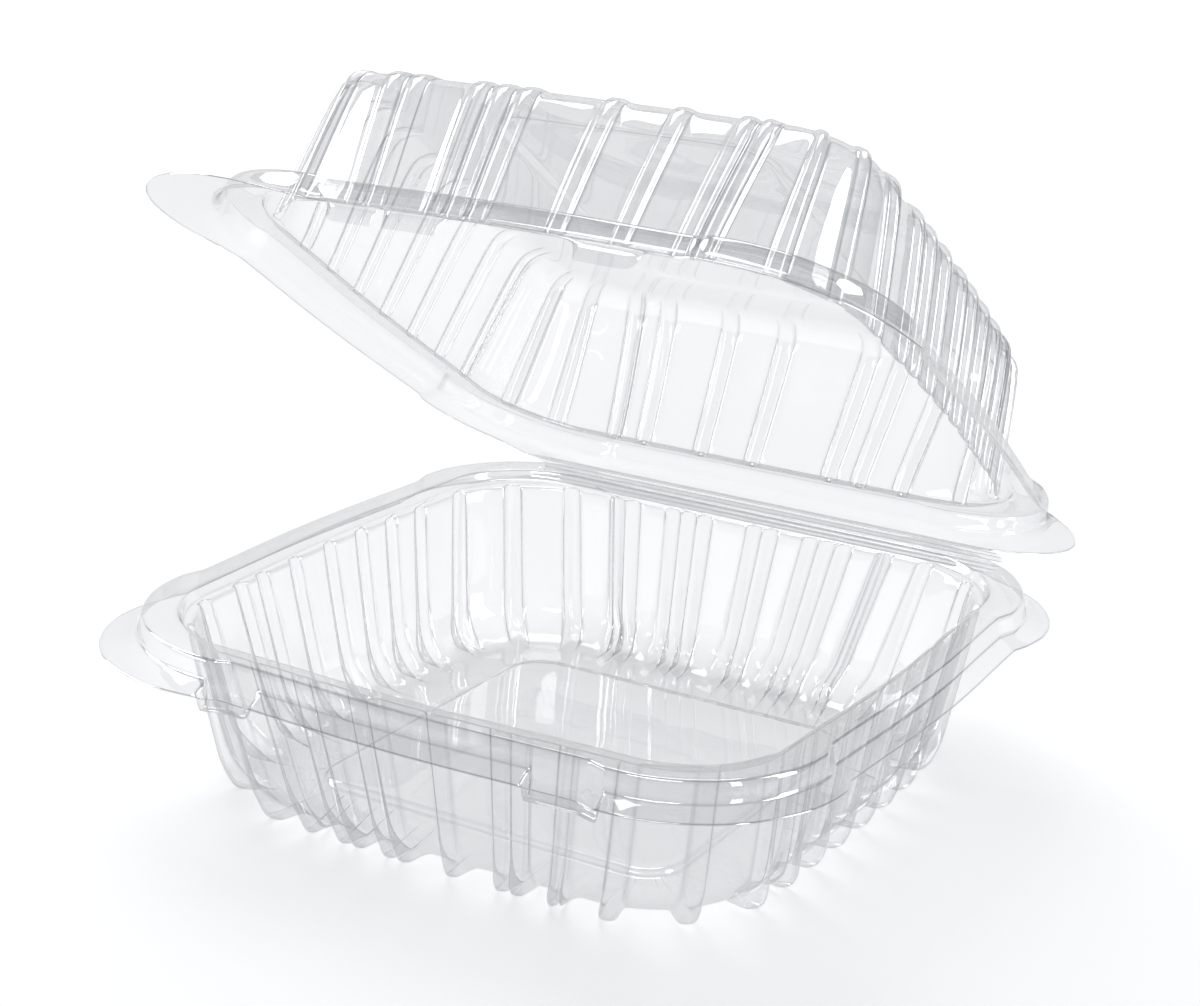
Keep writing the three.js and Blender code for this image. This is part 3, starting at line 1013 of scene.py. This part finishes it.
# %% Floor and backdrop
PAPER_SIZE = (6, 6)
PAPER_FRONT = 2.5
PAPER_DROP = 0.0005
WALL_SIZE = (5, 3)
WALL_AWAY = 2.2
WALL_MIDDLE_Z = 1.2


def glowing(name, code, strength):
    """A material that gives off light."""
    material = bare_material(name)
    tree = material.node_tree
    light = {"Color": (*linear(code), 1), "Strength": strength}
    glow = add_node(tree, "Emission", inputs=light).outputs[0]
    add_node(tree, "OutputMaterial", inputs={"Surface": glow})
    return material


def card(name, size, place, turn, material):
    """A flat rectangle, its front looking along its own +Z."""
    bpy.ops.mesh.primitive_plane_add(size=1)
    obj = bpy.context.object
    obj.name = name
    obj.scale = (*size, 1)
    obj.rotation_euler = turn
    obj.location = place
    bpy.ops.object.transform_apply(location=True, rotation=True, scale=True)
    obj.data.materials.append(material)
    print(name, "is", size[0], "by", size[1], "m")
    return obj


paper_middle = middle + away * (PAPER_SIZE[1] / 2 - PAPER_FRONT)
paper_middle.z = -PAPER_DROP
card("floor", PAPER_SIZE, paper_middle, (0, 0, VIEW_TURN), paper)
wall_middle = middle + away * WALL_AWAY
wall_middle.z = WALL_MIDDLE_Z
white_wall = glowing("white_wall", "FFFFFF", 1)
back = card("backdrop", WALL_SIZE, wall_middle, (QUARTER, 0, VIEW_TURN), white_wall)
back.visible_shadow = False

# %% [markdown]
# Long soft boxes draw the white streaks on ribs and rims. They could light the paper too,
# but six boxes would leave six soft shadows, and a packshot has nearly none. So they are
# hidden from matt surfaces and are only seen mirrored in the plastic.

# %% Soft boxes
BOX_AIM = Vector((0, 0, 0.05))

# Name, place, width and height in metres, and radiance
SOFT_BOXES = [
    ("top_box", (-0.2, 0.3, 1.3), (0.9, 0.6), 5),
    ("left_box", (-1.1, -0.1, 0.6), (0.35, 1.0), 8),
    ("right_box", (1.1, 0.2, 0.5), (0.3, 0.9), 8),
    ("front_strip", (0.1, -1.1, 1.0), (0.9, 0.16), 16),
    ("low_left_strip", (-0.9, -0.7, 0.25), (0.5, 0.14), 9),
    ("low_right_strip", (1.0, -0.5, 0.3), (0.12, 0.5), 9),
]


def soft_box(name, place, size, radiance):
    """A bright panel that is only seen mirrored in the plastic."""
    data = bpy.data.lights.new(name, "AREA")
    data.shape = "RECTANGLE"
    data.size, data.size_y = size
    data.energy = radiance * math.pi * size[0] * size[1]
    obj = bpy.data.objects.new(name, data)
    bpy.context.scene.collection.objects.link(obj)
    obj.location = place
    obj.rotation_euler = (BOX_AIM - Vector(place)).to_track_quat("-Z", "Y").to_euler()
    obj.visible_diffuse = False
    print(name, "gives", round(data.energy, 1), "W")


for box in SOFT_BOXES:
    soft_box(*box)

# %% [markdown]
# The paper itself is lit by one large high window: a sun lamp as wide as 35 degrees of
# the sky, so the container's shadow has no edge. It isn't mirrored in the plastic, where
# it would be a bright disc. The rest of the room is a dim grey. The Standard view
# transform keeps white at white, where the usual one would grey it.

# %% Window and room
WINDOW_LIGHT = 1.55
WINDOW_WIDTH = math.radians(35)
WINDOW_TURN = (math.radians(-25), math.radians(-28), 0)
ROOM_GREY = "8E9196"
ROOM_LIGHT = 0.6

window = bpy.data.lights.new("high_window", "SUN")
window.energy = WINDOW_LIGHT
window.angle = WINDOW_WIDTH
window_object = bpy.data.objects.new("high_window", window)
bpy.context.scene.collection.objects.link(window_object)
window_object.rotation_euler = WINDOW_TURN
window_object.visible_glossy = False

world = bpy.context.scene.world or bpy.data.worlds.new("room")
bpy.context.scene.world = world
world.use_nodes = True
room = world.node_tree.nodes["Background"]
room.inputs["Color"].default_value = (*linear(ROOM_GREY), 1)
room.inputs["Strength"].default_value = ROOM_LIGHT
bpy.context.scene.view_settings.view_transform = "Standard"
print("window", WINDOW_LIGHT, "room", ROOM_LIGHT)

# %% [markdown]
# The camera stands where the photo was taken from, a little to the right and above, with
# a long lens and the slight tilt of the photo. Its three axes are worked out from its
# turn, rise and roll, which is easier to match than a rotation in Euler angles.

# %% Camera
CAMERA_TURN = math.radians(29.112)
CAMERA_RISE = math.radians(17.428)
CAMERA_ROLL = math.radians(2.743)
CAMERA_PLACE = (0.23747, -0.42788, 0.20947)
LENS = 74.77
SENSOR = 36

level_part = math.cos(CAMERA_RISE)
look = Vector(
    (
        -math.sin(CAMERA_TURN) * level_part,
        math.cos(CAMERA_TURN) * level_part,
        -math.sin(CAMERA_RISE),
    )
)
right = look.cross(Vector((0, 0, 1))).normalized()
up = right.cross(look)
rolled_right = right * math.cos(CAMERA_ROLL) + up * math.sin(CAMERA_ROLL)
rolled_up = up * math.cos(CAMERA_ROLL) - right * math.sin(CAMERA_ROLL)
camera_data = bpy.data.cameras.new("camera")
camera_data.lens = LENS
camera_data.sensor_width = SENSOR
camera_data.dof.use_dof = False
camera = bpy.data.objects.new("camera", camera_data)
bpy.context.scene.collection.objects.link(camera)
axes = Matrix((rolled_right, rolled_up, -look)).transposed().to_4x4()
camera.matrix_world = Matrix.Translation(CAMERA_PLACE) @ axes
bpy.context.scene.camera = camera
print("camera at", CAMERA_PLACE, "looks along", tuple(look))
